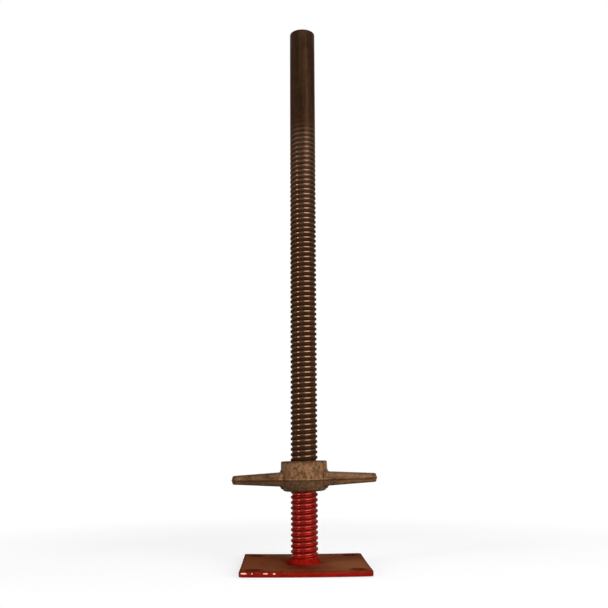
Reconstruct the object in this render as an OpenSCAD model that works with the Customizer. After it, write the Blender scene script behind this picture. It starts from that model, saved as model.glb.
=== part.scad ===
// Scaffold base jack: a threaded tube welded upright on a square base plate, with a cast
// wing nut that carries the scaffold leg. Millimetres, +Z up, origin under the plate's centre.

/* [Stem] */
// Outside diameter of the tube, which is also the thread's crest diameter
stem_d = 33; // [28:0.5:40]
// Wall of the tube
stem_wall = 5; // [4.5:0.25:8]
// Length of the stem above the base plate
stem_length = 684; // [420:1:760]
// Length of the smooth upper end, which goes into the scaffold leg
smooth_length = 108; // [60:1:180]
// Chamfer round both edges of the tube's upper end
end_chamfer = 1; // [0.5:0.25:1.5]

/* [Thread] */
// Pitch of the right-hand thread
thread_pitch = 6.35; // [5:0.05:9]
// Depth of the thread
thread_depth = 2; // [1.4:0.1:2.8]
// Length below the smooth end over which the thread grows to its full depth
runout_length = 180; // [12:1:240]

/* [Wing nut] */
// Height of the nut's underside above the base plate
nut_lift = 83.5; // [15:0.5:300]
// Turn of the wings about the stem, from the plate's front edge
nut_turn = -4; // [-90:1:90]
// Diameter of the hub at the parting line
hub_d = 57.5; // [50:0.5:70]
// Height of the hub above the parting line
hub_above = 21.5; // [14:0.5:30]
// Height of the hub below the parting line
hub_below = 14.5; // [12:0.5:24]
// Draft of the hub above the parting line, in degrees
hub_draft = 1.5; // [0.5:0.25:4]
// Draft of the hub below the parting line, in degrees
hub_low_draft = 6; // [0.5:0.25:10]
// Radius of the hub's upper rim
hub_top_round = 1.2; // [0.5:0.1:2.5]
// Radius of the hub's lower rim
hub_low_round = 4.5; // [2:0.25:7]
// Span of the two wings, tip to tip
wing_span = 177; // [130:1:220]
// Width of a wing where it leaves the hub
wing_root_w = 33; // [22:0.5:40]
// Width of a wing near its tip
wing_tip_w = 18; // [13:0.5:26]
// Height of a wing where it leaves the hub
wing_root_h = 17; // [12:0.5:22]
// Height of a wing near its tip
wing_tip_h = 10.6; // [7:0.2:14]
// Radius of the corners of a wing's tip, seen from above
wing_tip_round = 6; // [3:0.25:6.5]
// Draft of the wings' sides, in degrees, both ways from the parting line
wing_draft = 4; // [1:0.5:6]
// Rounding along the long edges of the wings
wing_edge = 1.8; // [0.6:0.1:2.5]
// Fillet where the wings' sides meet the hub
root_fillet = 3.5; // [1:0.25:6]
// Thickness of the flash left along the parting line
flash_t = 1.2; // [0.6:0.1:2]
// How far the flash stands out
flash_out = 0.4; // [0.2:0.05:0.8]
// Radial clearance between the nut's bore and the thread's crests
bore_clearance = 0.4; // [0.3:0.05:0.8]
// Chamfer at both mouths of the bore
bore_chamfer = 1.6; // [0.6:0.1:3]

/* [Base plate] */
// Side of the square plate
plate_w = 150; // [110:1:220]
// Thickness of the plate
plate_t = 6; // [4:0.5:14]
// Radius of the plate's corners
plate_corner = 2.5; // [1:0.25:8]
// Diameter of the four nail holes
nail_d = 9; // [6:0.5:14]
// Distance of a nail hole's centre from the two nearest edges
nail_inset = 15; // [12:0.5:24]

/* [Weld bead] */
// Width of the bead on the plate, out from the stem
bead_w = 4.5; // [3:0.25:8]
// Height of the bead up the stem
bead_h = 7; // [4:0.5:14]
// How far the bead bulges past a straight fillet
bead_bulge = 0.8; // [0.3:0.1:1.2]

/* [Hidden] */
smooth = 96;

stem_r = stem_d / 2;
stem_top = plate_t + stem_length;
bore_r = stem_r - stem_wall;

// The thread lies between the plain foot inside the weld bead and the smooth upper end, and
// it runs one pitch and a little more into both, so that its ragged ends are buried there.
run_in = 1.2 * thread_pitch;
foot_top = plate_t + max(bead_h + 0.1 * thread_pitch, run_in);
smooth_from = stem_top - smooth_length;
// Rows of points along one pitch: [place in the pitch, share of the thread's depth].
pitch_rows = [[0, 1], [0.3, 0], [0.7, 0]];
rows_per_turn = len(pitch_rows);
thread_from = foot_top - run_in;
thread_turns = ceil((smooth_from + run_in - thread_from) / thread_pitch);
// Sides of one turn, as many as keep the thread within its share of the facets.
thread_facets = 9900;
thread_sides = floor(thread_facets / (2 * rows_per_turn * thread_turns));
thread_last = thread_turns * rows_per_turn;
// The crests dip by this much just before the plain ends, which then cover them cleanly.
thread_tuck = 0.07 * thread_depth;

parting_z = plate_t + nut_lift + hub_below;
hub_r = hub_d / 2;
nut_bore_r = stem_r + bore_clearance;
// A wing tapers evenly from where it leaves the hub to the centre of its tip's corners.
wing_root_x = sqrt(hub_r ^ 2 - (wing_root_w / 2) ^ 2);
wing_tip_x = wing_span / 2 - wing_tip_round;
draft_inset = wing_root_h / 2 * tan(wing_draft);
// Levels of a wing's section: [share of its half height, inset from the parting outline].
wing_levels = [
  for (way = [-1, 1])
    for (level = [[1, wing_edge], [0.92, 0.4 * wing_edge], [0.75, 0.08 * wing_edge]])
      [way * level[0], draft_inset + level[1]],
  [0, 0]
];

nail_at = plate_w / 2 - nail_inset;

// Eases from 0 to 1 as t goes from 0 to 1.
function ease(t) = let(u = max(0, min(1, t))) u * u * (3 - 2 * u);

function row_z(side, row) =
  thread_from + thread_pitch
  * (side / thread_sides + floor(row / rows_per_turn) + pitch_rows[row % rows_per_turn][0]);

function crest_tuck(z) =
  thread_tuck * max(ease(1 - (smooth_from - z) / thread_pitch), z < foot_top + 0.05 * thread_pitch ? 1 : 0);

function row_radius(z, share) =
  stem_r - crest_tuck(z)
  - share * thread_depth * ease((smooth_from - z) / runout_length);

function row_point(side, row) =
  let(
    turn = 360 * side / thread_sides,
    z = row_z(side, row),
    r = row_radius(z, pitch_rows[row % rows_per_turn][1])
  )
  [r * cos(turn), r * sin(turn), z];

// Points are stored side by side; after the last side a row carries on one turn further up.
function point_at(side, row) =
  side < thread_sides
  ? side * (thread_last + 1) + row
  : row + rows_per_turn;

// A right-hand thread as one closed skin whose facets follow the helix.
module helical_thread() {
  last_side = thread_sides - 1;
  points = [
    for (side = [0:last_side]) for (row = [0:thread_last]) row_point(side, row),
    [0, 0, thread_from],
    [0, 0, row_z(0, thread_last) + thread_pitch]
  ];
  low_centre = len(points) - 2;
  high_centre = len(points) - 1;
  skin = [
    for (side = [0:last_side])
      for (row = [0:thread_last - 1 - (side == last_side ? rows_per_turn : 0)])
        [
          point_at(side, row), point_at(side, row + 1),
          point_at(side + 1, row + 1), point_at(side + 1, row)
        ]
  ];
  low_end = [
    for (side = [0:last_side]) [low_centre, point_at(side, 0), point_at(side + 1, 0)],
    for (row = [0:rows_per_turn - 1]) [low_centre, point_at(0, row + 1), point_at(0, row)]
  ];
  high_row = thread_last - rows_per_turn;
  high_end = [
    for (side = [0:last_side - 1])
      [high_centre, point_at(side + 1, thread_last), point_at(side, thread_last)],
    for (row = [high_row:thread_last - 1])
      [high_centre, point_at(last_side, row), point_at(last_side, row + 1)],
    [high_centre, point_at(0, thread_last), point_at(last_side, high_row)]
  ];
  polyhedron(points, concat(skin, low_end, high_end), convexity = 12);
}

module smooth_end() {
  translate([0, 0, smooth_from]) cylinder(h = smooth_length - end_chamfer, r = stem_r, $fn = smooth);
  translate([0, 0, stem_top - end_chamfer])
    cylinder(h = end_chamfer, r1 = stem_r, r2 = stem_r - end_chamfer, $fn = smooth);
}

module threaded_stem() {
  color("#45342a")
    difference() {
      union() {
        translate([0, 0, plate_t]) cylinder(h = foot_top - plate_t, r = stem_r, $fn = smooth);
        helical_thread();
        smooth_end();
      }
      translate([0, 0, plate_t - 1]) cylinder(h = stem_length + 2, r = bore_r, $fn = smooth);
      translate([0, 0, stem_top - end_chamfer])
        cylinder(h = 2 * end_chamfer, r1 = bore_r, r2 = bore_r + 2 * end_chamfer, $fn = smooth);
    }
}

// Half section of the hub: drafted both ways from the parting line, with rounded rims.
module hub_section() {
  top_r = hub_r - hub_above * tan(hub_draft);
  low_r = hub_r - hub_below * tan(hub_low_draft);
  difference() {
    polygon([[0, -hub_below], [low_r, -hub_below], [hub_r, 0], [top_r, hub_above], [0, hub_above]]);
    rim_waste(low_r, -hub_below, hub_low_round, -1);
    rim_waste(top_r, hub_above, hub_top_round, 1);
  }
}

// What comes off a rim of the hub's section to leave it round.
module rim_waste(rim_r, rim_z, round_r, way) {
  translate([rim_r - round_r, rim_z - way * round_r])
    difference() {
      translate([0, way > 0 ? 0 : -round_r - 1]) square([round_r + 2, round_r + 1]);
      circle(r = round_r, $fn = smooth);
    }
}

// Size of a wing at a distance from the stem's axis, from its sizes at the root and the tip.
function along_wing(x, root, tip) =
  root + (tip - root) * (x - wing_root_x) / (wing_tip_x - wing_root_x);

// Thin corner discs of a wing at one level of its section.
module wing_slice(share, inset, thickness) {
  foot_x = wing_root_x / 2;
  for (side = [-1, 1]) {
    translate([
      foot_x,
      side * (along_wing(foot_x, wing_root_w, wing_tip_w) / 2 - inset),
      share * along_wing(foot_x, wing_root_h, wing_tip_h) / 2
    ])
      cube([0.01, 0.01, thickness], center = true);
    translate([wing_tip_x, side * (wing_tip_w / 2 - wing_tip_round), share * wing_tip_h / 2])
      cylinder(h = thickness, r = wing_tip_round - inset, center = true, $fn = 32);
  }
}

module wing() {
  hull() for (level = wing_levels) wing_slice(level[0], level[1], 0.01);
}

// Thin fin left where the two halves of the mould met.
module wing_flash() {
  hull() wing_slice(0, -flash_out, flash_t);
}

// Outline of the hub and the wings' roots from above, with the corners between them filled.
module blended_plan() {
  end_x = hub_r + 2 * root_fillet;
  inset = draft_inset + 0.1 * wing_edge;
  end_half = along_wing(end_x, wing_root_w, wing_tip_w) / 2 - inset;
  axis_half = along_wing(0, wing_root_w, wing_tip_w) / 2 - inset;
  offset(r = -root_fillet, $fn = 48)
    offset(delta = root_fillet) {
      circle(r = hub_r - 1, $fn = smooth);
      polygon([
        [-end_x, -end_half], [0, -axis_half], [end_x, -end_half],
        [end_x, end_half], [0, axis_half], [-end_x, end_half]
      ]);
    }
}

// Fillet between the hub's wall and the upper face of the wings; it narrows as it climbs.
module face_fillet() {
  toe_x = hub_r + root_fillet;
  toe_z = along_wing(toe_x, wing_root_h, wing_tip_h) / 2;
  toe_half = along_wing(toe_x, wing_root_w, wing_tip_w) / 2 - draft_inset - wing_edge;
  overlap = wing_edge;
  intersection() {
    rotate_extrude($fn = smooth)
      difference() {
        translate([hub_r - root_fillet, toe_z - overlap])
          square([2 * root_fillet, root_fillet + overlap]);
        translate([toe_x, toe_z + root_fillet]) circle(r = root_fillet, $fn = smooth);
      }
    rotate([90, 0, 90])
      linear_extrude(height = 2 * toe_x, center = true)
        polygon([
          [-toe_half, toe_z - overlap], [toe_half, toe_z - overlap],
          [toe_half, toe_z], [toe_half - root_fillet, toe_z + root_fillet],
          [root_fillet - toe_half, toe_z + root_fillet], [-toe_half, toe_z]
        ]);
  }
}

module nut_casting() {
  rotate_extrude($fn = smooth) hub_section();
  cylinder(h = flash_t, r = hub_r + flash_out, center = true, $fn = smooth);
  for (end = [0, 180])
    rotate([0, 0, end]) {
      wing();
      wing_flash();
    }
  linear_extrude(height = 0.7 * wing_root_h, center = true) blended_plan();
  face_fillet();
  mirror([0, 0, 1]) face_fillet();
}

module wing_nut() {
  color("#8c6848")
    translate([0, 0, parting_z])
      rotate([0, 0, nut_turn])
        difference() {
          nut_casting();
          translate([0, 0, -hub_below - 1])
            cylinder(h = hub_below + hub_above + 2, r = nut_bore_r, $fn = smooth);
          translate([0, 0, hub_above - bore_chamfer])
            cylinder(h = 2 * bore_chamfer, r1 = nut_bore_r, r2 = nut_bore_r + 2 * bore_chamfer, $fn = smooth);
          translate([0, 0, -hub_below - bore_chamfer])
            cylinder(h = 2 * bore_chamfer, r1 = nut_bore_r + 2 * bore_chamfer, r2 = nut_bore_r, $fn = smooth);
        }
}

module plate_outline() {
  straight = plate_w - 2 * plate_corner;
  square([plate_w, straight], center = true);
  square([straight, plate_w], center = true);
  for (x = [-1, 1], y = [-1, 1])
    translate([x, y] * straight / 2) circle(r = plate_corner, $fn = smooth);
}

module base_plate() {
  color("#7d2b1e")
    difference() {
      linear_extrude(height = plate_t) plate_outline();
      for (x = [-1, 1], y = [-1, 1])
        translate([x * nail_at, y * nail_at, -1])
          cylinder(h = plate_t + 2, r = nail_d / 2, $fn = smooth);
    }
}

// Fillet weld all round the stem's foot, its face slightly domed.
module weld_bead() {
  face = norm([bead_w, bead_h]);
  // The face is an arc through the bead's toe and its top, with bead_bulge as its rise.
  arc_r = (face ^ 2 / 4 + bead_bulge ^ 2) / (2 * bead_bulge);
  inward = [-bead_h, -bead_w] / face * (arc_r - bead_bulge);
  centre = [bead_w, bead_h] / 2 + inward;
  color("#a01c1a")
    translate([0, 0, plate_t])
      rotate_extrude($fn = smooth)
        translate([stem_r, 0])
          intersection() {
            square([bead_w + bead_bulge, bead_h]);
            translate(centre) circle(r = arc_r, $fn = smooth);
          }
}

base_plate();
weld_bead();
threaded_stem();
wing_nut();
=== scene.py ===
"""Scaffold base jack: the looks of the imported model.

A rolled-thread stem stands welded on a red base plate, and a cast wing nut rides on the thread.
All sizes are in metres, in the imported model's own frame: +Z up, origin under the plate's centre.
"""

import math

import bpy
import numpy as np
from mathutils import Matrix, Vector, geometry, noise


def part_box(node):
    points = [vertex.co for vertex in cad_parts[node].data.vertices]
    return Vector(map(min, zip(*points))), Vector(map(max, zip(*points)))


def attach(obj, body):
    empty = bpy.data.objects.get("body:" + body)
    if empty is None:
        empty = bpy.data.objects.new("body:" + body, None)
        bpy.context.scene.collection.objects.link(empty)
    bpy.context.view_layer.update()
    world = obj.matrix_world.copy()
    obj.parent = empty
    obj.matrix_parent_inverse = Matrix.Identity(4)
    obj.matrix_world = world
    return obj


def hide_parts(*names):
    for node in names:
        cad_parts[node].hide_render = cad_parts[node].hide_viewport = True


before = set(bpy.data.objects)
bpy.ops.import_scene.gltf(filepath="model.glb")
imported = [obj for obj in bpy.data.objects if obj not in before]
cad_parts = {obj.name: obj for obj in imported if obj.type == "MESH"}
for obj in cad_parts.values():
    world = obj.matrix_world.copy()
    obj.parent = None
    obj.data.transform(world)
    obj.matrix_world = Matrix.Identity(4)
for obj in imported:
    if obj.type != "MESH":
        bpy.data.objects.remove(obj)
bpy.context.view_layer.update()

MM = 0.001
TURN = 2 * math.pi

# ---------------------------------------------------------------- sizes taken from the model

_, plate_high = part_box("base_plate")
_, stem_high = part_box("threaded_stem")
_, bead_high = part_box("weld_bead")
nut_low, nut_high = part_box("wing_nut")

PLATE_HALF = plate_high.x
PLATE_TOP = plate_high.z
STEM_RADIUS = stem_high.x
STEM_TOP = stem_high.z
BEAD_RADIUS = bead_high.x
BEAD_TOP = bead_high.z
# The hub reaches further above its parting line than below it.
PARTING_SHARE = 0.403
PARTING_HEIGHT = nut_low.z + PARTING_SHARE * (nut_high.z - nut_low.z)
NUT_HUB_RADIUS = nut_high.y

# ---------------------------------------------------------------- sizes of the finer detail

BORE_RADIUS = 11.5 * MM
THREAD_PITCH = 6.35 * MM
THREAD_DEPTH = 1.8 * MM
THREAD_START = 6.015 * MM
THREAD_FOOT = BEAD_TOP - 4 * MM
THREAD_FULL_FROM = 13 * MM
THREAD_FULL_TO = 382 * MM
THREAD_FADED_AT = 582 * MM
# How slowly the thread fades there: above 1, its last turns are shallower.
FADE_POWER = 1.5
# Below the smooth end, the rolled grooves are bright once this far down.
POLISH_LENGTH = 45 * MM
# Dents of use in the crests: their depth, the noise's scale, and the level above which it dents.
CREST_WEAR, CREST_DENTS, DENTED_FROM = 0.12 * MM, 130, 0.1
THREAD_SIDES = 60
# Rolled thread with rounded crests and roots: place in the pitch, height above the root as a share.
THREAD_ROWS = (
    (0, 0), (0.06, 0.004), (0.13, 0.030), (0.17, 0.110), (0.21, 0.300), (0.25, 0.580),
    (0.29, 0.850), (0.35, 0.980), (0.50, 1), (0.65, 0.980), (0.71, 0.850), (0.75, 0.580),
    (0.79, 0.300), (0.83, 0.110), (0.87, 0.030), (0.94, 0.004),
)
TURN_ROWS = len(THREAD_ROWS)
THREAD_TURNS = math.ceil((THREAD_FADED_AT - THREAD_START) / THREAD_PITCH)
LAST_ROW = THREAD_TURNS * TURN_ROWS
# Heights of the rings along the plain tube above the thread, and down its bore.
PLAIN_RINGS = (THREAD_FADED_AT + 9 * MM, 620 * MM, 655 * MM)
BORE_RINGS = (400 * MM, 200 * MM)
STEM_SINK = 0.3 * MM
RIM_CHAMFER = 1.0 * MM
RIM_SOFTENING = 0.3 * MM

BEAD_SIDES = 192
BEAD_LEVELS = 9
BEAD_RIPPLES = 27
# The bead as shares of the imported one's width and height, and how far each varies round the stem.
BEAD_WIDTH, BEAD_WIDTH_VARIES = 0.66, 0.12
BEAD_HEIGHT, BEAD_HEIGHT_VARIES = 0.76, 0.10
# How far its face bulges, and how much the ripples add to that, in millimetres.
BEAD_BULGE, RIPPLE_RISE = 0.05, 0.42
# The ripples: how far they curve, how unevenly they follow, and their shape, broad below 1.
RIPPLE_CURVE, RIPPLE_STRAY, RIPPLE_POWER = 0.55, 0.8, 0.7
# Above 1, the bead's face is hollow.
FLARE_POWER = 1.5
BEAD_ROOT_RADIUS = STEM_RADIUS - 2.1 * MM
BEAD_ROOT_TOP = BEAD_TOP - 0.9 * MM
BEAD_SINK = 0.2 * MM

# Radii of the plate's corners, knocked round by use: far right, far left, near left, near right.
PLATE_CORNERS = (6.0 * MM, 3.0 * MM, 2.5 * MM, 4.0 * MM)
CORNER_LIFT = 1.0 * MM
LIFT_POWER = 1.5
CORNER_STEPS = 7
OUTLINE_STEP = 1.25 * MM
# Section of the plate's edge from the top face down to the underside: inset in millimetres, and
# height as a share.
EDGE_SECTION = (
    (1.5, 1.0), (0.75, 0.995), (0.32, 0.965), (0.08, 0.90), (0.0, 0.80), (0.0, 0.72), (0.0, 0.62),
    (0.0, 0.50), (0.0, 0.36), (0.0, 0.22), (0.08, 0.10), (0.32, 0.035), (0.75, 0.005), (1.5, 0.0),
)
NAIL_RADIUS = 4.5 * MM
NAIL_INSET = 15 * MM
NAIL_AT = PLATE_HALF - NAIL_INSET
NAIL_HOLES = ((-NAIL_AT, -NAIL_AT), (NAIL_AT, -NAIL_AT), (NAIL_AT, NAIL_AT), (-NAIL_AT, NAIL_AT))
# Section of a nail hole in the same way, its inset measured outwards from the hole's wall.
HOLE_SECTION = ((0.7, 1.0), (0.25, 0.98), (0.05, 0.92), (0.0, 0.8), (0.0, 0.2), (0.05, 0.08),
                (0.25, 0.02), (0.7, 0.0))
HOLE_SIDES = 36
# Loose points inside the plate's faces: how many to a side, and their distance from edge and hole.
FACE_POINTS = 29
EDGE_MARGIN = 4 * MM
HOLE_MARGIN = 2 * MM
# Depth, and the noise's scale, of the hollows in the top face and of the dents along the edge.
TOP_DIP, TOP_WAVES = 0.12 * MM, 40
DENT_DEPTH, EDGE_DENTS = 0.10 * MM, 160
# Where in the plate's thickness its paint counts as facing up, and over what share it fades.
UPWARD_FROM, UPWARD_FADE = 0.62, 0.12
# Chips in the paint along the plate's front edge: where along it, and half length, in millimetres.
FRONT_CHIPS = ((-69.9, 4.9), (-60.1, 1.3), (-45.4, 4.9), (-35.7, 2.8))
FRONT_REACH = 3 * MM
CHIP_INWARD = 0.45 * MM
CHIP_DOWN = 0.35 * MM
# Where in the plate's thickness the chips begin, and over what share they reach their full depth.
CHIP_FROM, CHIP_DEEPENS = 0.45, 0.5
# Stray chips elsewhere, where a noise is high: its scale, the level it must pass, and the fade.
STRAY_CHIPS, STRAY_FROM, STRAY_FADE = 95, 0.70, 0.2
# Where in the plate's thickness the chips are barest, and how far up and down they reach.
CHIP_MIDDLE, CHIP_REACH = 0.70, 0.20

NUT_VOXEL = 0.6 * MM
CAST_ROUGHNESS = 0.10 * MM
# Scales of the two noises in the casting's grain.
CAST_COARSE, CAST_FINE = 260, 720
# The grain starts this far outside the stem, and is full so much further out.
BORE_MARGIN, BORE_FADE = 1.5 * MM, 2 * MM
NUT_ROCK = math.radians(1.0)
# How far a ridge stands out, or a hollow lies back, to count in full on the plate and the nut.
PLATE_RIDGE, CAST_RIDGE = 0.12 * MM, 0.22 * MM
# Bends sharper than this, in degrees, are shaded as edges.
STEM_BEND, PLATE_BEND = 40, 50


def linear(code):
    """Colour written as six hex digits, as the shader's linear values."""
    parts = [int(code[i:i + 2], 16) / 255 for i in (0, 2, 4)]
    return (*[c / 12.92 if c <= 0.04045 else ((c + 0.055) / 1.055) ** 2.4 for c in parts], 1.0)


# ---------------------------------------------------------------- finishes

STEEL_DARK = linear("1a0d05")
STEEL_BROWN = linear("372415")
STEEL_WORN = linear("5e4432")
STEEL_RUSTY = linear("311503")
GROOVE_BRIGHT = linear("594638")
STEM_RED = linear("92130a")
STEM_RED_DARK = linear("5e0903")
# Dark red for grime and painted shade on the painted crests.
STEM_GRIME_AND_SHADE = linear("2c0704")
STEM_GLOSS = linear("802a24")
PLATE_RED = linear("8a140e")
PLATE_RED_DEEP = linear("660d07")
PLATE_BROWN = linear("7e4026")
PLATE_OLIVE = linear("68452b")
# Dark red for painted shade on the plate: in front of the weld and along the top arris.
PLATE_SHADE_RED = linear("5c0f07")
PLATE_DUSTY = linear("a06a48")
PRIMER = linear("e8b4a2")
# Soot for specks, scuffs and pits, and also painted shade in the nail holes.
SOOT_AND_SHADE = linear("24130c")
WELD_RED = linear("8a160e")
WELD_RED_DEEP = linear("640b05")
CAST_TAN = linear("8a6241")
CAST_BROWN = linear("482f1c")
CAST_DARK = linear("26180e")
CAST_BRIGHT = linear("9c7652")

# The red paint's upper edge on the stem: its lowest point, how ragged it is, and how wide it fades.
SPRAY_TOP, SPRAY_RAGGED, SPRAY_FADE = 104 * MM, 20 * MM, 7 * MM
# Darker painted crests, grime from the nut and painted shade for the dark crest tips: where it
# starts, and the height over which it grows.
DARK_CRESTS_FROM, DARK_CRESTS_GROW = 14 * MM, 50 * MM
# Patches on the plate's top: middle, reach, and the width over which they fade.
CLEAN_PATCH = ((0, -2 * MM), 29 * MM, 8 * MM)
# The patch in front of the weld is painted shade.
WELD_SHADE_PATCH = ((6 * MM, -34 * MM), 46 * MM, 34 * MM)
DUSTY_PATCH = ((52 * MM, -20 * MM), 62 * MM, 45 * MM)
# Cleaner strip along the plate's front edge: its width, and the width over which it fades.
FRONT_STRIP, FRONT_FADE = 11 * MM, 8 * MM
# The casting's looks change from hub to wing over this width.
HUB_TO_WING = 4 * MM
# How far to the left the stains and painted shade reach their most, and how far to the right the
# painted shade below the parting line its least.
DARKEST_LEFT_AT, LEAST_SHADE_AT = -40 * MM, 60 * MM
# Height of the bump in each finish.
STEM_PITS, PLATE_GRAIN, WELD_GRAIN, CAST_GRAIN = 0.03 * MM, 0.12 * MM, 0.06 * MM, 0.16 * MM


def ease(t):
    """Smooth step from 0 to 1 as t goes from 0 to 1."""
    u = min(1.0, max(0.0, t))
    return u * u * (3 - 2 * u)


# ---------------------------------------------------------------- shader nodes

def place(tree, kind, inputs=None, **options):
    """A node of that kind, with its options set and its inputs filled or linked."""
    made = tree.nodes.new(kind)
    for name, value in options.items():
        setattr(made, name, value)
    for key, value in (inputs or {}).items():
        if isinstance(value, bpy.types.NodeSocket):
            tree.links.new(value, made.inputs[key])
        else:
            made.inputs[key].default_value = value
    return made


def maths(tree, operation, first, second=0.5, third=0.0, clamp=False):
    """Output of a Math node."""
    made = place(tree, "ShaderNodeMath", {0: first, 1: second, 2: third}, operation=operation,
                 use_clamp=clamp)
    return made.outputs[0]


def times(tree, first, second, clamp=False):
    """One value times another."""
    return maths(tree, "MULTIPLY", first, second, clamp=clamp)


def plus_times(tree, start, value, factor, clamp=False):
    """The start with the value added that many times."""
    return maths(tree, "MULTIPLY_ADD", value, factor, start, clamp=clamp)


def rest_of(tree, share):
    """1 where the share is 0, and 0 where it is 1."""
    return maths(tree, "SUBTRACT", 1.0, share)


def short_of(tree, limit, value, fade):
    """1 well short of the limit, falling to 0 there over the width of the fade."""
    return maths(tree, "DIVIDE", maths(tree, "SUBTRACT", limit, value), fade, clamp=True)


def beyond(tree, value, start, rise):
    """0 up to the start, and growing to 1 over the width of the rise."""
    return maths(tree, "DIVIDE", maths(tree, "SUBTRACT", value, start), rise, clamp=True)


def blend_colours(tree, share, first, second):
    """Output of a colour Mix node: first where share is 0, second where it is 1."""
    made = place(tree, "ShaderNodeMix", {0: share, 6: first, 7: second}, data_type="RGBA")
    return made.outputs[2]


def cover(tree, base, share, strength, colour):
    """The base colour with another laid over it where the share is 1, at that strength."""
    return blend_colours(tree, times(tree, share, strength), base, colour)


def cloud(tree, where, scale, detail, roughness=0.5):
    """Values of a noise, about 0.5 in the middle."""
    made = place(tree, "ShaderNodeTexNoise", {"Vector": where, "Scale": scale, "Detail": detail,
                                              "Roughness": roughness})
    return made.outputs["Fac"]


def new_group(name, inputs, outputs):
    """An empty node group with named sockets; returns the group, its input node and output node."""
    group = bpy.data.node_groups.new(name, "ShaderNodeTree")
    for socket, kind, default in inputs:
        made = group.interface.new_socket(socket, in_out="INPUT", socket_type=kind)
        if default is not None:
            made.default_value = default
    for socket, kind in outputs:
        group.interface.new_socket(socket, in_out="OUTPUT", socket_type=kind)
    return group, group.nodes.new("NodeGroupInput").outputs, group.nodes.new("NodeGroupOutput")


def mottle_group():
    """Two colours clouded into each other at a coarse and a fine size."""
    group, given, out = new_group(
        "mottle",
        [("Vector", "NodeSocketVector", None), ("Scale", "NodeSocketFloat", 100.0),
         ("Contrast", "NodeSocketFloat", 1.0), ("Low", "NodeSocketColor", None),
         ("High", "NodeSocketColor", None)],
        [("Color", "NodeSocketColor"), ("Share", "NodeSocketFloat")])
    coarse = cloud(group, given["Vector"], given["Scale"], 5.0, 0.62)
    fine = cloud(group, given["Vector"], times(group, given["Scale"], 6.5), 3.0)
    both = plus_times(group, times(group, coarse, 0.65), fine, 0.35)
    spread = plus_times(group, 0.5, maths(group, "SUBTRACT", both, 0.5),
                        times(group, given["Contrast"], 3.0), clamp=True)
    group.links.new(blend_colours(group, spread, given["Low"], given["High"]), out.inputs["Color"])
    group.links.new(spread, out.inputs["Share"])
    return group


def patches_group():
    """A ragged mask of worn or dirty patches, helped along where Push is high."""
    group, given, out = new_group(
        "patches",
        [("Vector", "NodeSocketVector", None), ("Scale", "NodeSocketFloat", 100.0),
         ("Amount", "NodeSocketFloat", 0.3), ("Softness", "NodeSocketFloat", 0.1),
         ("Push", "NodeSocketFloat", 0.0)],
        [("Mask", "NodeSocketFloat")])
    pushed = maths(group, "ADD", cloud(group, given["Vector"], given["Scale"], 6.0, 0.68),
                   given["Push"])
    level = maths(group, "ADD", pushed, maths(group, "SUBTRACT", given["Amount"], 1.0))
    mask = maths(group, "DIVIDE", level, given["Softness"], clamp=True)
    group.links.new(mask, out.inputs["Mask"])
    return group


def grain_group():
    """Height of a fine surface grain, with shallower and wider waves under it."""
    group, given, out = new_group(
        "grain",
        [("Vector", "NodeSocketVector", None), ("Scale", "NodeSocketFloat", 600.0),
         ("Waves", "NodeSocketFloat", 0.5)],
        [("Height", "NodeSocketFloat")])
    fine = cloud(group, given["Vector"], given["Scale"], 4.0, 0.6)
    wide = cloud(group, given["Vector"], times(group, given["Scale"], 0.18), 2.0)
    group.links.new(plus_times(group, fine, wide, given["Waves"]), out.inputs["Height"])
    return group


GROUPS = {"mottle": mottle_group(), "patches": patches_group(), "grain": grain_group()}


def use_group(tree, name, inputs):
    """Outputs of that group placed in a material, with its inputs filled or linked."""
    return place(tree, "ShaderNodeGroup", inputs, node_tree=GROUPS[name]).outputs


def mottle(tree, where, scale, low, high, contrast=1.0):
    """Colour clouded between the two given."""
    return use_group(tree, "mottle", {"Vector": where, "Scale": scale, "Contrast": contrast,
                                      "Low": low, "High": high})["Color"]


def patches(tree, where, scale, amount, softness, push=0.0):
    """Mask of ragged patches: more of them with a higher amount or push."""
    return use_group(tree, "patches", {"Vector": where, "Scale": scale, "Amount": amount,
                                       "Softness": softness, "Push": push})["Mask"]


def grain(tree, where, scale, waves):
    """Height of a fine grain."""
    return use_group(tree, "grain", {"Vector": where, "Scale": scale, "Waves": waves})["Height"]


def new_finish(name, **constants):
    """A material with its one Principled shader, whose even values are set on its own sockets."""
    finish = bpy.data.materials.new(name)
    finish.use_nodes = True
    tree = finish.node_tree
    shader = tree.nodes["Principled BSDF"]
    for socket, value in constants.items():
        shader.inputs[socket.replace("_", " ")].default_value = value
    where = place(tree, "ShaderNodeTexCoord").outputs["Object"]
    return finish, tree, shader, where


def shift(tree, where, offset, stretch=(1, 1, 1)):
    """The place on the piece, moved and stretched, so that two effects don't fall together."""
    made = place(tree, "ShaderNodeMapping", {"Vector": where, "Location": offset, "Scale": stretch})
    return made.outputs["Vector"]


def along(tree, where, axis):
    """One coordinate of the place on the piece."""
    return place(tree, "ShaderNodeSeparateXYZ", {"Vector": where}).outputs[axis]


def on_patch(tree, where, patch):
    """1 on that patch of the plate's top, fading to 0 at its reach."""
    middle, reach, fade = patch
    away = place(tree, "ShaderNodeVectorMath", {0: where, 1: (*middle, PLATE_TOP)},
                 operation="DISTANCE").outputs["Value"]
    return short_of(tree, reach, away, fade)


def measured(tree, name):
    """A value that was worked out for each point of the mesh."""
    return place(tree, "ShaderNodeAttribute", attribute_name=name).outputs["Fac"]


def finish_surface(tree, shader, base, roughness, height, bump_depth):
    """Links the colour, the roughness and the bump to the shader."""
    bump = place(tree, "ShaderNodeBump", {"Height": height, "Distance": bump_depth})
    tree.links.new(base, shader.inputs["Base Color"])
    tree.links.new(roughness, shader.inputs["Roughness"])
    tree.links.new(bump.outputs["Normal"], shader.inputs["Normal"])


# ---- threaded stem

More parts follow.
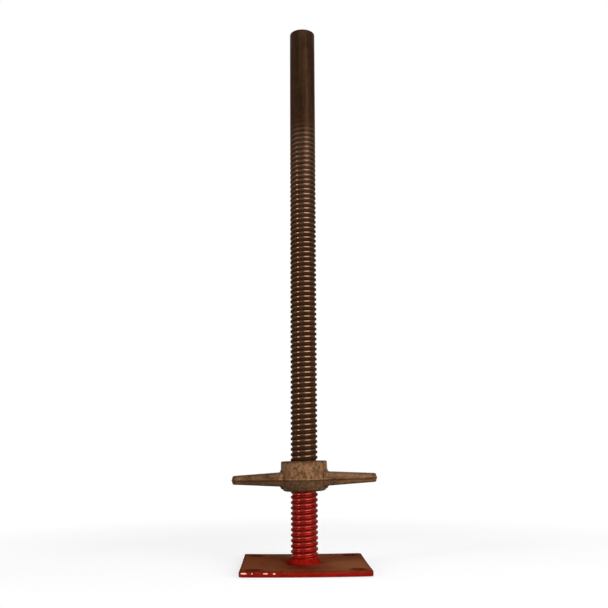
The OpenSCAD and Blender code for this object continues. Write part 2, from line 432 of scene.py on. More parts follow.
def bare_steel(tree, where, crest, threaded):
    """Oiled brown steel, streaked along the stem, rustier in the thread and worn on its crests."""
    streaky = shift(tree, where, (0.3, 0.1, 0), (1, 1, 0.06))
    steel = blend_colours(tree, 0.3, mottle(tree, streaky, 200, STEEL_DARK, STEEL_BROWN, 1.5),
                          mottle(tree, where, 160, STEEL_DARK, STEEL_BROWN, 1.2))
    steel = cover(tree, steel, threaded, 0.6, STEEL_RUSTY)
    wear = patches(tree, shift(tree, where, (0, 0.7, 0)), 420, 0.50, 0.25)
    return cover(tree, steel, times(tree, crest, wear, clamp=True), 0.3, STEEL_WORN)


def stem_red(tree, where, height, crest):
    """Red paint whose crests are darker, more towards the nut: grime from the nut, and painted shade
    standing in for the dark crest tips.
    """
    red = mottle(tree, where, 210, STEM_RED_DARK, STEM_RED, 1.1)
    # Grime and painted shade: the crests darken towards the nut.
    crest_grime_and_shade = times(tree, beyond(tree, height, DARK_CRESTS_FROM, DARK_CRESTS_GROW),
                    maths(tree, "POWER", crest, 2.0))
    return cover(tree, red, crest_grime_and_shade, 0.45, STEM_GRIME_AND_SHADE)


def sprayed_share(tree, where, height, crest):
    """1 where the stem is painted: up to a ragged edge, and thin in places."""
    level = plus_times(tree, SPRAY_TOP, cloud(tree, where, 120.0, 4.0), SPRAY_RAGGED)
    thin = patches(tree, shift(tree, where, (0.4, 0, 0.2)), 500, 0.37, 0.08,
                   times(tree, crest, 0.03))
    return times(tree, short_of(tree, level, height, SPRAY_FADE), rest_of(tree, thin))


def stem_roughness(tree, where, polished, plain, crest_line):
    """Uneven, and smoother in the polished grooves, on the plain tube and along painted crests."""
    rough = plus_times(tree, 0.42, cloud(tree, where, 300.0, 3.0), 0.16)
    smoothed = maths(tree, "MAXIMUM", polished, times(tree, plain, 0.5))
    return plus_times(tree, plus_times(tree, rough, smoothed, -0.32), crest_line, -0.30)


def stem_finish():
    """Dark oiled steel, polished in the thread's grooves, sprayed red from the plate to the nut."""
    finish, tree, shader, where = new_finish(
        "stem_steel", Specular_IOR_Level=0.02, Specular_Tint=(0.55, 0.42, 0.34, 1.0),
        Coat_Roughness=0.12)
    crest, groove = measured(tree, "crest"), measured(tree, "groove")
    height = along(tree, where, "Z")
    threaded = maths(tree, "ADD", crest, groove, clamp=True)
    sprayed = sprayed_share(tree, where, height, crest)
    bare = rest_of(tree, sprayed)
    plain = maths(tree, "SUBTRACT", bare, threaded, clamp=True)
    polished = maths(tree, "POWER", groove, 3.0)
    painted_groove = times(tree, polished, sprayed)
    crest_line = times(tree, maths(tree, "POWER", crest, 9.0), sprayed)

    base = blend_colours(tree, sprayed, bare_steel(tree, where, crest, threaded),
                         stem_red(tree, where, height, crest))
    base = cover(tree, base, times(tree, polished, bare), 0.8, GROOVE_BRIGHT)
    base = cover(tree, base, painted_groove, 0.85, STEM_GLOSS)

    metal = times(tree, polished, plus_times(tree, 0.70, bare, 0.30))
    metal = maths(tree, "MAXIMUM", metal, times(tree, plain, 0.6))
    tree.links.new(plus_times(tree, metal, crest_line, 0.30), shader.inputs["Metallic"])
    gloss = plus_times(tree, times(tree, painted_groove, 0.12), times(tree, crest, sprayed), 0.04)
    tree.links.new(plus_times(tree, gloss, plain, 0.045), shader.inputs["Coat Weight"])
    rough = stem_roughness(tree, where, polished, plain, crest_line)
    pitted = times(tree, grain(tree, where, 1500, 0.8), rest_of(tree, polished))
    finish_surface(tree, shader, base, rough, pitted, STEM_PITS)
    return finish


# ---- base plate

def dirt_share(tree, where, upward, near_front):
    """1 where brown dirt lies on the top; the paint still shows round the weld and in front."""
    cleaner = maths(tree, "MAXIMUM", on_patch(tree, where, CLEAN_PATCH),
                    times(tree, near_front, 0.55))
    dirty = patches(tree, shift(tree, where, (0.9, 0.2, 0)), 60, 0.85, 0.3,
                    times(tree, cleaner, -0.40))
    return times(tree, times(tree, dirty, 0.92), upward, clamp=True)


def plate_colour(tree, where, upward, near_front, dirty):
    """Red paint under the dirt, with painted shade in front of the weld, a dusty patch and dark
    specks on top.
    """
    red = mottle(tree, where, 70, PLATE_RED_DEEP, PLATE_RED)
    dirt = mottle(tree, shift(tree, where, (0.2, 0.5, 0)), 45, PLATE_BROWN, PLATE_OLIVE, 1.2)
    base = blend_colours(tree, dirty, red, dirt)
    # Painted shade on the top in front of the weld.
    weld_shade = times(tree, on_patch(tree, where, WELD_SHADE_PATCH), upward)
    base = cover(tree, base, weld_shade, 0.90, PLATE_SHADE_RED)
    dusty = times(tree, on_patch(tree, where, DUSTY_PATCH), upward)
    base = cover(tree, base, dusty, 0.38, PLATE_DUSTY)
    specks = patches(tree, shift(tree, where, (0.1, 0.8, 0.3)), 300, 0.33, 0.06,
                     times(tree, near_front, 0.12))
    return cover(tree, base, times(tree, specks, upward), 0.8, SOOT_AND_SHADE)


def plate_finish():
    """Red paint dulled brown by dirt on top, chipped to pale primer along the edges, with painted
    shade on the top arris, in the nail holes and in front of the weld.
    """
    finish, tree, shader, where = new_finish("plate_paint", Specular_IOR_Level=0.0)
    upward, edge = measured(tree, "upward"), measured(tree, "edge")
    near_front = short_of(tree, FRONT_STRIP - PLATE_HALF, along(tree, where, "Y"), FRONT_FADE)
    dirty = dirt_share(tree, where, upward, near_front)
    base = plate_colour(tree, where, upward, near_front, dirty)
    # Painted shade along the top arris.
    arris = times(tree, times(tree, edge, 2.0, clamp=True), upward)
    base = cover(tree, base, arris, 0.6, PLATE_SHADE_RED)
    # Painted shade in the nail holes.
    base = cover(tree, base, measured(tree, "rim"), 0.6, SOOT_AND_SHADE)
    scuffed = patches(tree, shift(tree, where, (0.5, 0.3, 0)), 380, 0.30, 0.08,
                      times(tree, edge, 0.16))
    base = cover(tree, base, scuffed, 0.6, SOOT_AND_SHADE)
    flaked = patches(tree, shift(tree, where, (0.7, 0.6, 0)), 520, 0.0, 0.06,
                     measured(tree, "chip"))
    base = blend_colours(tree, flaked, base, PRIMER)
    rough = plus_times(tree, plus_times(tree, 0.38, dirty, 0.25), flaked, 0.2)
    height = plus_times(tree, grain(tree, where, 700, 0.8), flaked, -0.6)
    finish_surface(tree, shader, base, rough, height, PLATE_GRAIN)
    return finish


# ---- weld bead

def weld_finish():
    """Thick red paint over the weld, with sooty pits."""
    finish, tree, shader, where = new_finish("weld_paint", Specular_IOR_Level=0.0)
    pits = patches(tree, shift(tree, where, (0.3, 0.2, 0)), 600, 0.30, 0.05)
    base = cover(tree, mottle(tree, where, 140, WELD_RED_DEEP, WELD_RED), pits, 0.7, SOOT_AND_SHADE)
    rough = plus_times(tree, 0.3, pits, 0.3)
    finish_surface(tree, shader, base, rough, grain(tree, where, 900, 0.8), WELD_GRAIN)
    return finish


# ---- wing nut

def casting_colour(tree, where, sideways, on_wing):
    """Tan rust mottled upright on the hub and lengthwise on the wings, with dark stains that painted
    shade makes heaviest on the left.
    """
    upright = shift(tree, where, (0, 0, 0), (1, 1, 0.75))
    lengthwise = shift(tree, where, (0.7, 0.2, 0.1), (0.4, 1, 1))
    base = blend_colours(tree, on_wing, mottle(tree, upright, 230, CAST_BROWN, CAST_TAN, 2.2),
                         mottle(tree, lengthwise, 200, CAST_BROWN, CAST_TAN, 1.4))
    left = maths(tree, "DIVIDE", sideways, DARKEST_LEFT_AT, clamp=True)
    # Stains, with painted shade pushing them to the left.
    stains_and_shade = patches(tree, shift(tree, where, (0.4, 0.6, 0.1), (1, 1, 0.5)), 80, 0.45, 0.15,
                     times(tree, left, 0.20))
    base = cover(tree, base, stains_and_shade, 0.45, CAST_DARK)
    pale = patches(tree, shift(tree, where, (0.1, 0.9, 0.5)), 330, 0.46, 0.2)
    return cover(tree, base, pale, 0.45, CAST_BRIGHT)


def shade_below(tree, base, where, sideways, above):
    """The colour with painted shade: darker below the parting line but less on the right, and a
    painted shadow close under the ridge.
    """
    shade_tone = mottle(tree, shift(tree, where, (0.5, 0.5, 0)), 110, CAST_DARK, CAST_BROWN, 1.2)
    right = maths(tree, "DIVIDE", sideways, LEAST_SHADE_AT, clamp=True)
    # Painted shade below the parting line, lighter on the right.
    shaded = times(tree, plus_times(tree, 0.1, above, -0.7, clamp=True),
                  plus_times(tree, 0.72, right, -0.38))
    base = blend_colours(tree, shaded, base, shade_tone)
    # A painted shadow just under the parting ridge.
    off_line = maths(tree, "ABSOLUTE", maths(tree, "ADD", above, 1.3))
    line = maths(tree, "SUBTRACT", 1.0, off_line, clamp=True)
    return cover(tree, base, line, 0.75, CAST_DARK)


def nut_finish():
    """Rust-tanned casting: mottled, with painted shade below the parting line, in the hollows and on
    rims, and a painted highlight on the parting ridge.
    """
    finish, tree, shader, where = new_finish(
        "nut_casting", Specular_IOR_Level=0.10, Specular_Tint=(1.0, 0.85, 0.7, 1.0))
    edge, above = measured(tree, "edge"), measured(tree, "above")
    sideways = along(tree, where, "X")
    on_wing = beyond(tree, maths(tree, "ABSOLUTE", sideways), NUT_HUB_RADIUS, HUB_TO_WING)
    base = casting_colour(tree, where, sideways, on_wing)
    # Painted shade in the hollows.
    base = cover(tree, base, times(tree, edge, -2.4, clamp=True), 0.7, CAST_DARK)
    # The parting ridge is made pale, most of all on the hub: rubbed wear, and a painted highlight
    # where the ridge catches the light; other edges get painted shade.
    off_ridge = maths(tree, "ABSOLUTE", above)
    ridge = maths(tree, "SUBTRACT", maths(tree, "SUBTRACT", 1.2, off_ridge, clamp=True),
                  times(tree, on_wing, 0.8), clamp=True)
    # Painted shade on the rims other than the ridge.
    rim = times(tree, times(tree, edge, 1.3, clamp=True), rest_of(tree, ridge))
    base = cover(tree, base, rim, 0.75, CAST_DARK)
    # Pale patches: rubbed wear, and a painted highlight along the parting ridge.
    rubbed_and_highlit = patches(tree, shift(tree, where, (0.6, 0.2, 0.5), (0.4, 0.4, 1)), 240, 0.33, 0.3,
                     times(tree, ridge, 0.26))
    base = cover(tree, base, rubbed_and_highlit, 0.6, CAST_BRIGHT)
    base = shade_below(tree, base, where, sideways, above)
    pores = patches(tree, shift(tree, where, (0.8, 0.1, 0.3), (1, 1, 0.45)), 620, 0.40, 0.08)
    base = cover(tree, base, pores, 0.5, CAST_DARK)
    rough = plus_times(tree, 0.58, rubbed_and_highlit, -0.15)
    height = plus_times(tree, grain(tree, where, 900, 1.0), pores, -0.5)
    finish_surface(tree, shader, base, rough, height, CAST_GRAIN)
    return finish


# ---------------------------------------------------------------- meshes

def new_piece(name, points, faces, finish, sharp_over):
    """A smooth-shaded mesh object with one material."""
    mesh = bpy.data.meshes.new(name)
    mesh.from_pydata(points, [], faces)
    mesh.validate()
    mesh.polygons.foreach_set("use_smooth", [True] * len(mesh.polygons))
    mesh.set_sharp_from_angle(angle=math.radians(sharp_over))
    piece = bpy.data.objects.new(name, mesh)
    bpy.context.scene.collection.objects.link(piece)
    mesh.materials.append(finish)
    return piece


def keep_values(piece, name, values):
    """Stores one number for each point of the piece, for its material to read."""
    piece.data.attributes.new(name, "FLOAT", "POINT").data.foreach_set("value", values)


def point_rows(mesh, field):
    """Places ("co") or normals of the mesh's points, one row to a point."""
    rows = np.zeros(3 * len(mesh.vertices), np.float32)
    mesh.vertices.foreach_get(field, rows)
    return rows.reshape(-1, 3).astype(float)


def keep_edges(piece, passes, scale):
    """Stores how far each point stands out from the points round it: ridges high, hollows low."""
    mesh = piece.data
    spots = point_rows(mesh, "co")
    pairs = np.zeros(2 * len(mesh.edges), np.int64)
    mesh.edges.foreach_get("vertices", pairs)
    pairs = pairs.reshape(-1, 2)
    neighbours = np.bincount(pairs.ravel(), minlength=len(spots)).astype(float)

    def around(values):
        """Mean of the values at the points round each point."""
        total = np.zeros_like(values)
        np.add.at(total, pairs[:, 0], values[pairs[:, 1]])
        np.add.at(total, pairs[:, 1], values[pairs[:, 0]])
        return total / np.maximum(neighbours, 1)[:, None]

    smooth = spots
    for _ in range(passes):
        smooth = around(smooth)
    stands = ((spots - smooth) * point_rows(mesh, "normal")).sum(1, keepdims=True)
    for _ in range(2):
        stands = 0.5 * stands + 0.5 * around(stands)
    keep_values(piece, "edge", np.clip(stands[:, 0] / scale, -1, 1))


def fit_piece(piece, body, node):
    """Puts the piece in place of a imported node."""
    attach(piece, body)
    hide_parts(node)


def ring(radius, height, sides):
    """Points evenly round the stem's axis."""
    return [(radius * math.cos(TURN * i / sides), radius * math.sin(TURN * i / sides), height)
            for i in range(sides)]


def bridge(low, high, sides):
    """Quads between two rings that start at those point numbers, facing out."""
    return [(low + i, low + (i + 1) % sides, high + (i + 1) % sides, high + i)
            for i in range(sides)]


# ---- threaded stem

def thread_share(z):
    """How much of the thread's full depth there is at that height."""
    foot = ease((z - THREAD_FOOT) / (THREAD_FULL_FROM - THREAD_FOOT))
    fade = ease((THREAD_FADED_AT - z) / (THREAD_FADED_AT - THREAD_FULL_TO)) ** FADE_POWER
    return foot * fade


def thread_point(side, row):
    """A point of the thread and its height above the root, from 0 to 1."""
    place_in_pitch, share = THREAD_ROWS[row % TURN_ROWS]
    around = TURN * side / THREAD_SIDES
    z = THREAD_START + THREAD_PITCH * (side / THREAD_SIDES + row // TURN_ROWS + place_in_pitch)
    depth = THREAD_DEPTH * thread_share(z)
    spot = Vector((math.cos(around), math.sin(around), 0))
    dent = noise.noise((spot * STEM_RADIUS + Vector((0, 0, z))) * CREST_DENTS + Vector((3, 8, 1)))
    wear = CREST_WEAR * max(0.0, dent - DENTED_FROM) * share
    radius = STEM_RADIUS - depth * (1 - share) - wear
    return (radius * math.cos(around), radius * math.sin(around), z), share


def thread_number(side, row):
    """Number of a point of the thread; the side after the last is the first, one turn higher."""
    if side == THREAD_SIDES:
        return row + TURN_ROWS
    return side * (LAST_ROW + 1) + row


def thread_skin():
    """Points, crest values, groove values and faces of the thread; rows follow the helix."""
    points, crests, grooves, faces = [], [], [], []
    for side in range(THREAD_SIDES):
        for row in range(LAST_ROW + 1):
            point, crest = thread_point(side, row)
            points.append(point)
            crests.append(crest * thread_share(point[2]))
            grooves.append((1 - crest) * ease((THREAD_FADED_AT - point[2]) / POLISH_LENGTH))
    for side in range(THREAD_SIDES):
        top = LAST_ROW - (TURN_ROWS if side == THREAD_SIDES - 1 else 0)
        faces += [(thread_number(side, row), thread_number(side + 1, row),
                   thread_number(side + 1, row + 1), thread_number(side, row + 1))
                  for row in range(top)]
    return points, crests, grooves, faces


def plain_tube(first):
    """Rings from above the thread, over the stem's rim and down its bore to the foot, and faces."""
    rings = [(STEM_RADIUS, z) for z in PLAIN_RINGS]
    rings += [(STEM_RADIUS, STEM_TOP - RIM_CHAMFER),
              (STEM_RADIUS - RIM_SOFTENING, STEM_TOP - RIM_SOFTENING),
              (STEM_RADIUS - RIM_CHAMFER, STEM_TOP), (BORE_RADIUS + RIM_CHAMFER, STEM_TOP),
              (BORE_RADIUS, STEM_TOP - RIM_CHAMFER)]
    rings += [(BORE_RADIUS, z) for z in BORE_RINGS]
    rings += [(BORE_RADIUS, PLATE_TOP - STEM_SINK), (STEM_RADIUS, PLATE_TOP - STEM_SINK)]
    points = [point for radius, z in rings for point in ring(radius, z, THREAD_SIDES)]
    starts = [first + i * THREAD_SIDES for i in range(len(rings))]
    faces = [face for low, high in zip(starts, starts[1:])
             for face in bridge(low, high, THREAD_SIDES)]
    return points, faces, starts[-1]


def close_thread(first_ring, foot_ring):
    """Faces from the thread's stepped ends, which lie in the plain parts, to the nearest rings."""
    faces = []
    for side in range(THREAD_SIDES):
        after = (side + 1) % THREAD_SIDES
        faces.append((thread_number(side, LAST_ROW), thread_number(after, LAST_ROW),
                      first_ring + after, first_ring + side))
        faces.append((foot_ring + side, foot_ring + after,
                      thread_number(side + 1, 0), thread_number(side, 0)))
    # The step at the seam, one pitch high, at the top and at the foot.
    top_step = [thread_number(THREAD_SIDES - 1, LAST_ROW - TURN_ROWS + i)
                for i in range(TURN_ROWS + 1)]
    foot_step = [thread_number(0, i) for i in range(TURN_ROWS + 1)]
    for corner, step in ((thread_number(0, LAST_ROW), top_step), (foot_ring, foot_step)):
        faces += [(corner, high, low) for low, high in zip(step, step[1:])]
    return faces


def build_stem(finish):
    """One skin: the thread, the plain tube above it and the bore."""
    points, crests, grooves, faces = thread_skin()
    first_ring = len(points)
    tube, tube_faces, foot_ring = plain_tube(first_ring)
    faces += tube_faces + close_thread(first_ring, foot_ring)
    piece = new_piece("stem_tube", points + tube, faces, finish, STEM_BEND)
    keep_values(piece, "crest", crests + [0.0] * len(tube))
    keep_values(piece, "groove", grooves + [0.0] * len(tube))
    fit_piece(piece, "base", "threaded_stem")


# ---- weld bead

def bead_point(side, level):
    """A point of the bead's rippled face, from its toe on the plate (level 0) up to the stem."""
    around = TURN * side / BEAD_SIDES
    climb = level / (BEAD_LEVELS - 1)
    flat = Vector((math.cos(around), math.sin(around), 0))
    lump = noise.noise(flat * 2.2 + Vector((5, 1, 7)))
    curve = RIPPLE_CURVE * (climb - 0.5) ** 2
    ripple = abs(math.sin(BEAD_RIPPLES * (around + curve) / 2 + RIPPLE_STRAY * lump))
    width = (BEAD_RADIUS - STEM_RADIUS) * (BEAD_WIDTH + BEAD_WIDTH_VARIES * lump)
    height = (BEAD_TOP - PLATE_TOP) * (
        BEAD_HEIGHT + BEAD_HEIGHT_VARIES * noise.noise(flat * 3.1))
    rise = BEAD_BULGE + RIPPLE_RISE * ripple ** RIPPLE_POWER
    bulge = math.sin(math.pi * climb) * rise * MM
    slope = math.atan2(width, height)
    out = STEM_RADIUS + width * (1 - climb) ** FLARE_POWER + bulge * math.cos(slope)
    up = PLATE_TOP + height * climb + bulge * math.sin(slope)
    return (out * flat.x, out * flat.y, up)


def build_bead(finish):
    """The bead's rippled face, closed inside the stem's wall and just under the plate's top."""
    points = [bead_point(side, level)
              for level in range(BEAD_LEVELS) for side in range(BEAD_SIDES)]
    points += ring(BEAD_ROOT_RADIUS, BEAD_ROOT_TOP, BEAD_SIDES)
    points += ring(BEAD_ROOT_RADIUS, PLATE_TOP - BEAD_SINK, BEAD_SIDES)
    points += [(x, y, PLATE_TOP - BEAD_SINK) for x, y, _ in points[:BEAD_SIDES]]
    faces = []
    rings = len(points) // BEAD_SIDES
    for i in range(rings):
        faces += bridge(i * BEAD_SIDES, (i + 1) % rings * BEAD_SIDES, BEAD_SIDES)
    piece = new_piece("weld_bead_ring", points, faces, finish, PLATE_BEND)
    fit_piece(piece, "base", "weld_bead")


# ---- base plate

def plate_outline():
    """Points round the plate's edge, each with the way out there."""
    walk = []
    for quarter in range(4):
        turn = Matrix.Rotation(quarter * math.pi / 2, 2)
        first, last = PLATE_CORNERS[quarter - 1], PLATE_CORNERS[quarter]
        straight = 2 * PLATE_HALF - first - last
        steps = round(straight / OUTLINE_STEP)
        for i in range(steps):
            along_edge = -PLATE_HALF + first + straight * i / steps
            walk.append((turn @ Vector((PLATE_HALF, along_edge)), turn @ Vector((1, 0))))
        middle = Vector((PLATE_HALF - last, PLATE_HALF - last))
        for i in range(CORNER_STEPS):
            around = i * math.pi / 2 / CORNER_STEPS
            way = Vector((math.cos(around), math.sin(around)))
            walk.append((turn @ (middle + last * way), turn @ way))
    return walk


def chip_at(point):
    """How deeply the top edge is chipped near that point: 0 for not at all, about 1 for fully."""
    deepest = 0.0
    if point.y < -PLATE_HALF + FRONT_REACH:
        for middle, half in FRONT_CHIPS:
            deepest = max(deepest, 1 - ((point.x - middle * MM) / (half * MM)) ** 2)
    spot = noise.noise(Vector((point.x, point.y, 0)) * STRAY_CHIPS + Vector((2, 4, 9)))
    return max(deepest * (0.95 + 0.6 * spot), 0.9 * ease((spot - STRAY_FROM) / STRAY_FADE))


def plate_lift(x, y):
    """How far the weld's pull has lifted the plate there: its corners stand up by about 1 mm."""
    reach = (x * x + y * y) / (2 * PLATE_HALF * PLATE_HALF)
    return CORNER_LIFT * reach ** LIFT_POWER


def top_share(point):
    """How high in the plate's thickness that point is, from 0 to 1."""
    return (point[2] - plate_lift(point[0], point[1])) / PLATE_TOP


def edge_point(point, way, inset, share, chip):
    """A point of the edge's section, with the dents and chips of use."""
    dent = noise.noise(Vector((point.x, point.y, share * 0.01)) * EDGE_DENTS)
    chipped = chip * ease((share - CHIP_FROM) / CHIP_DEEPENS)
    # The innermost rows meet the flat faces, so they stay smooth.
    if inset >= EDGE_SECTION[0][0]:
        spot, drop = point - way * (inset * MM), 0.0
    else:
        spot = point - way * (inset * MM + DENT_DEPTH * (dent + 1) + CHIP_INWARD * chipped)
        drop = CHIP_DOWN * chipped
    return (spot.x, spot.y, PLATE_TOP * share - drop + plate_lift(spot.x, spot.y))


def edge_skin():
    """Points down the plate's edge, how bare each is of paint, faces, and points to a row."""
    walk = plate_outline()
    chips = [chip_at(point) for point, _ in walk]
    around = len(walk)
    points, bareness, faces = [], [], []
    for inset, share in EDGE_SECTION:
        midway = 1 - ((share - CHIP_MIDDLE) / CHIP_REACH) ** 2
        for (point, way), chip in zip(walk, chips):
            points.append(edge_point(point, way, inset, share, chip))
            bareness.append(chip * 0.8 * ease(1.8 * midway))
    for level in range(len(EDGE_SECTION) - 1):
        faces += bridge((level + 1) * around, level * around, around)
    return points, bareness, faces, around


def hole_skin(middle, first):
    """Points down a nail hole's wall, and faces; the points' numbers start at first."""
    points, faces = [], []
    for inset, share in HOLE_SECTION:
        for x, y, _ in ring(NAIL_RADIUS + inset * MM, 0, HOLE_SIDES):
            x, y = x + middle[0], y + middle[1]
            points.append((x, y, PLATE_TOP * share + plate_lift(x, y)))
    for level in range(len(HOLE_SECTION) - 1):
        faces += bridge(first + level * HOLE_SIDES, first + (level + 1) * HOLE_SIDES, HOLE_SIDES)
    return points, faces


def loose_points():
    """Points spread over the plate's faces, clear of its edge and its nail holes."""
    reach = PLATE_HALF - EDGE_MARGIN
    steps = [-reach + 2 * reach * i / (FACE_POINTS - 1) for i in range(FACE_POINTS)]
    spread = [Vector((x, y)) for x in steps for y in steps]
    return [spot for spot in spread
            if min((spot - Vector(hole)).length for hole in NAIL_HOLES) > NAIL_RADIUS + HOLE_MARGIN]


def fill_between(flat, loops):
    """Triangles over the flat points, within the first loop and outside the other loops."""
    edges = [pair for loop in loops for pair in zip(loop, loop[1:] + loop[:1])]
    found = geometry.delaunay_2d_cdt(flat, edges, [], 1, 1e-7)
    triangles = [tuple(found[3][i][0] for i in face) for face in found[2]]
    # A triangle with all three corners on one hole's rim would close that hole.
    return [face for face in triangles
            if not any(set(face).issubset(hole) for hole in loops[1:])]


def fill_plate(points, around, hole_starts, top):
    """Closes the top face or the underside, adding its loose points; returns the faces."""
    outer = 0 if top else (len(EDGE_SECTION) - 1) * around
    level = 0 if top else (len(HOLE_SECTION) - 1) * HOLE_SIDES
    starts = [(outer, around)] + [(start + level, HOLE_SIDES) for start in hole_starts]
    numbers = [start + i for start, count in starts for i in range(count)]
    loops, used = [], 0
    for _, count in starts:
        loops.append(list(range(used, used + count)))
        used += count
    loose = loose_points()
    flat = [Vector(points[i][:2]) for i in numbers] + loose
    numbers += range(len(points), len(points) + len(loose))
    for spot in loose:
        dip = TOP_DIP * noise.noise(Vector((spot.x, spot.y, 0)) * TOP_WAVES)
        z = PLATE_TOP - TOP_DIP + dip if top else 0.0
        points.append((spot.x, spot.y, z + plate_lift(spot.x, spot.y)))
    faces = [tuple(numbers[i] for i in face) for face in fill_between(flat, loops)]
    return faces if top else [face[::-1] for face in faces]


def build_plate(finish):
    """The plate: its worn edge, its nail holes, and the two faces between them."""
    points, bareness, faces, around = edge_skin()
    rim = [0.0] * len(points)
    hole_starts = []
    for hole in NAIL_HOLES:
        hole_starts.append(len(points))
        wall, wall_faces = hole_skin(hole, len(points))
        points += wall
        faces += wall_faces
        rim += [1.0] * len(wall)
    for top in (True, False):
        faces += fill_plate(points, around, hole_starts, top)
    piece = new_piece("base_plate_painted", points, faces, finish, PLATE_BEND)
    keep_values(piece, "rim", rim + [0.0] * (len(points) - len(rim)))
    keep_values(piece, "chip", bareness + [0.0] * (len(points) - len(bareness)))
    rises = point_rows(piece.data, "normal")[:, 2]
    keep_values(piece, "upward", [
        max(0.0, rise, ease((top_share(point) - UPWARD_FROM) / UPWARD_FADE))
        for point, rise in zip(points, rises)])
    keep_edges(piece, passes=2, scale=PLATE_RIDGE)
    fit_piece(piece, "base", "base_plate")


# ---- wing nut

def build_nut(finish):
    """The casting's own surface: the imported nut, evened out and given the grain of a sand mould."""
    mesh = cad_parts["wing_nut"].data.copy()
    piece = bpy.data.objects.new("wing_nut_casting", mesh)
    bpy.context.scene.collection.objects.link(piece)
    remesh = piece.modifiers.new("even", "REMESH")
    remesh.mode = "VOXEL"
    remesh.voxel_size = NUT_VOXEL
    settle = piece.modifiers.new("settle", "SMOOTH")
    settle.factor = 0.5
    settle.iterations = 2
    depsgraph = bpy.context.evaluated_depsgraph_get()
    done = bpy.data.meshes.new_from_object(piece.evaluated_get(depsgraph))
    piece.modifiers.clear()
    piece.data = done
    roughen_casting(done)
    done.polygons.foreach_set("use_smooth", [True] * len(done.polygons))
    done.materials.clear()
    done.materials.append(finish)
    keep_edges(piece, passes=6, scale=CAST_RIDGE)
    keep_values(piece, "above", (point_rows(done, "co")[:, 2] - PARTING_HEIGHT) / MM)
    rock_nut(done)
    fit_piece(piece, "nut", "wing_nut")


def roughen_casting(mesh):
    """Moves the outer skin a little in and out; the bore keeps its clearance."""
    spots = point_rows(mesh, "co")
    moves = np.zeros((len(spots), 1))
    for i, spot in enumerate(spots):
        outside = ease((math.hypot(spot[0], spot[1]) - STEM_RADIUS - BORE_MARGIN) / BORE_FADE)
        if outside:
            coarse = noise.noise(Vector(spot) * CAST_COARSE + Vector((1, 2, 3)))
            fine = noise.noise(Vector(spot) * CAST_FINE + Vector((7, 5, 2)))
            moves[i] = CAST_ROUGHNESS * (0.8 * coarse + 0.6 * fine - 0.9) * outside
    spots = np.clip(spots + point_rows(mesh, "normal") * moves, nut_low, nut_high)
    mesh.vertices.foreach_set("co", spots.ravel())
    mesh.update()


def rock_nut(mesh):
    """The loose nut rocks on its thread until its right wing stands a little high."""
    middle = Vector((0, 0, (nut_low.z + nut_high.z) / 2))
    mesh.transform(Matrix.Translation(middle) @ Matrix.Rotation(-NUT_ROCK, 4, "Y")
                   @ Matrix.Translation(-middle))


# ---------------------------------------------------------------- studio

CAMERA_AT = (-0.0261, -0.9868, 0.1431)
CAMERA_RISE = math.radians(10.208)
CAMERA_HEADING = math.radians(-1.562)
CAMERA_ROLL = math.radians(-0.274)
CAMERA_LENS = 46.78
# Each lamp's name, heading from the front and rise in degrees, width and height, and radiance.
LAMPS = (
    ("broad_lamp", 36, 7, (2.3, 0.9), 8.7),
    ("narrow_lamp", -56, 7, (0.55, 0.9), 14.8),
    ("high_lamp", 36, 30, (1.0, 0.9), 2.4),
    ("top_lamp", 0, 80, (2.4, 2.4), 1.5),
)
LAMP_DISTANCE = 2.2
LAMP_TARGET = Vector((0, 0, 0.3))
# What the world gives to diffuse rays; the background itself is pure white.
AMBIENT = 0.06
FLOOR_GREY = (0.45, 0.45, 0.45, 1)
WHITE = (1, 1, 1, 1)
FLOOR_GLOW = 0.62
FLOOR_NEAR = 0.35
FLOOR_REACH = 20.0
# The floor lies just under the plate, so that the two faces don't meet.
FLOOR_DROP = 0.2 * MM


def add_camera():
    """The camera, low in front of the jack and tilted up a little."""
    ahead = Vector((-math.sin(CAMERA_HEADING) * math.cos(CAMERA_RISE),
                    math.cos(CAMERA_HEADING) * math.cos(CAMERA_RISE), math.sin(CAMERA_RISE)))
    right = Vector((math.cos(CAMERA_HEADING), math.sin(CAMERA_HEADING), 0))
    up = right.cross(ahead)
    turned_right = math.cos(CAMERA_ROLL) * right + math.sin(CAMERA_ROLL) * up
    turned_up = math.cos(CAMERA_ROLL) * up - math.sin(CAMERA_ROLL) * right
    data = bpy.data.cameras.new("camera")
    data.lens = CAMERA_LENS
    data.sensor_width = 36
    data.sensor_fit = "HORIZONTAL"
    data.clip_start = 0.01
    camera = bpy.data.objects.new("camera", data)
    bpy.context.scene.collection.objects.link(camera)
    turn = Matrix((turned_right, turned_up, -ahead)).transposed().to_4x4()
    camera.matrix_world = Matrix.Translation(CAMERA_AT) @ turn
    bpy.context.scene.camera = camera


def add_lamp(name, heading, rise, size, radiance):
    """A soft rectangular lamp aimed at the middle of the stem."""
    data = bpy.data.lights.new(name, "AREA")
    data.shape = "RECTANGLE"
    data.size, data.size_y = size
    data.energy = radiance * math.pi * size[0] * size[1]
    lamp = bpy.data.objects.new(name, data)
    bpy.context.scene.collection.objects.link(lamp)
    heading, rise = math.radians(heading), math.radians(rise)
    way = Vector((math.sin(heading) * math.cos(rise), -math.cos(heading) * math.cos(rise),
                  math.sin(rise)))
    lamp.location = LAMP_TARGET + way * LAMP_DISTANCE
    lamp.rotation_euler = (-way).to_track_quat("-Z", "Y").to_euler()


def seen_directly(tree):
    """1 for rays from the camera, and for mirror and glass rays."""
    path = place(tree, "ShaderNodeLightPath").outputs
    either = maths(tree, "MAXIMUM", path["Is Camera Ray"], path["Is Glossy Ray"])
    return maths(tree, "MAXIMUM", either, path["Is Transmission Ray"])


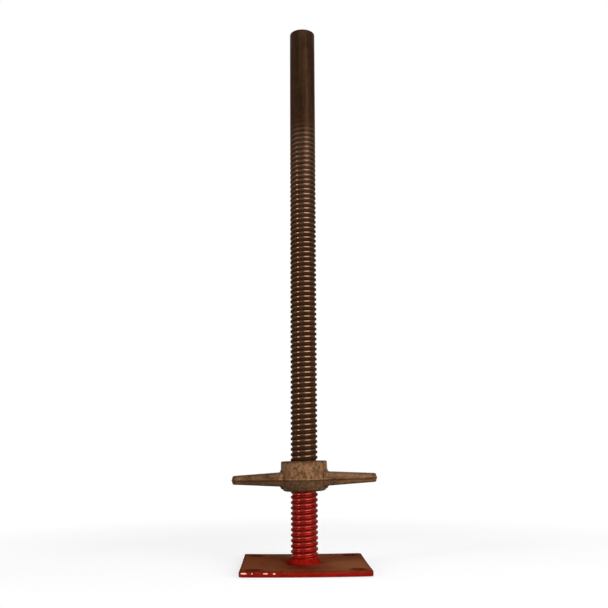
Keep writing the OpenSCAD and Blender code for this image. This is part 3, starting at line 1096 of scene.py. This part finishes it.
def add_world():
    """A white background that gives the object itself only a little light."""
    world = bpy.data.worlds.new("studio")
    bpy.context.scene.world = world
    world.use_nodes = True
    tree = world.node_tree
    back = tree.nodes["Background"]
    back.inputs["Color"].default_value = WHITE
    tree.links.new(plus_times(tree, AMBIENT, seen_directly(tree), 1 - AMBIENT),
                   back.inputs["Strength"])


def floor_finish():
    """White floor: it keeps the object's soft shadow, and further off it meets the background."""
    finish = bpy.data.materials.new("floor_white")
    finish.use_nodes = True
    tree = finish.node_tree
    tree.nodes.remove(tree.nodes["Principled BSDF"])
    seen = seen_directly(tree)
    matt = place(tree, "ShaderNodeBsdfDiffuse", {"Color": FLOOR_GREY})
    glow = place(tree, "ShaderNodeEmission",
                 {"Color": WHITE, "Strength": times(tree, seen, FLOOR_GLOW)})
    near = place(tree, "ShaderNodeAddShader", {0: matt.outputs[0], 1: glow.outputs[0]})
    white = place(tree, "ShaderNodeEmission", {"Color": WHITE, "Strength": 1.0})
    spot = place(tree, "ShaderNodeTexCoord").outputs["Object"]
    reach = place(tree, "ShaderNodeVectorMath", {0: spot}, operation="LENGTH").outputs["Value"]
    far = beyond(tree, reach, FLOOR_NEAR, FLOOR_NEAR)
    both = place(tree, "ShaderNodeMixShader",
                 {0: times(tree, far, seen), 1: near.outputs[0], 2: white.outputs[0]})
    tree.links.new(both.outputs[0], tree.nodes["Material Output"].inputs["Surface"])
    return finish


def add_floor():
    """One large square under the plate."""
    mesh = bpy.data.meshes.new("floor")
    corners = [(-FLOOR_REACH, -FLOOR_REACH, 0), (FLOOR_REACH, -FLOOR_REACH, 0),
               (FLOOR_REACH, FLOOR_REACH, 0), (-FLOOR_REACH, FLOOR_REACH, 0)]
    mesh.from_pydata(corners, [], [(0, 1, 2, 3)])
    floor = bpy.data.objects.new("floor", mesh)
    floor.location.z = -FLOOR_DROP
    bpy.context.scene.collection.objects.link(floor)
    mesh.materials.append(floor_finish())


def build():
    """Everything in the scene, in order."""
    build_plate(plate_finish())
    build_bead(weld_finish())
    build_stem(stem_finish())
    build_nut(nut_finish())
    add_floor()
    add_world()
    for lamp in LAMPS:
        add_lamp(*lamp)
    add_camera()
    bpy.context.scene.view_settings.view_transform = "Standard"


build()
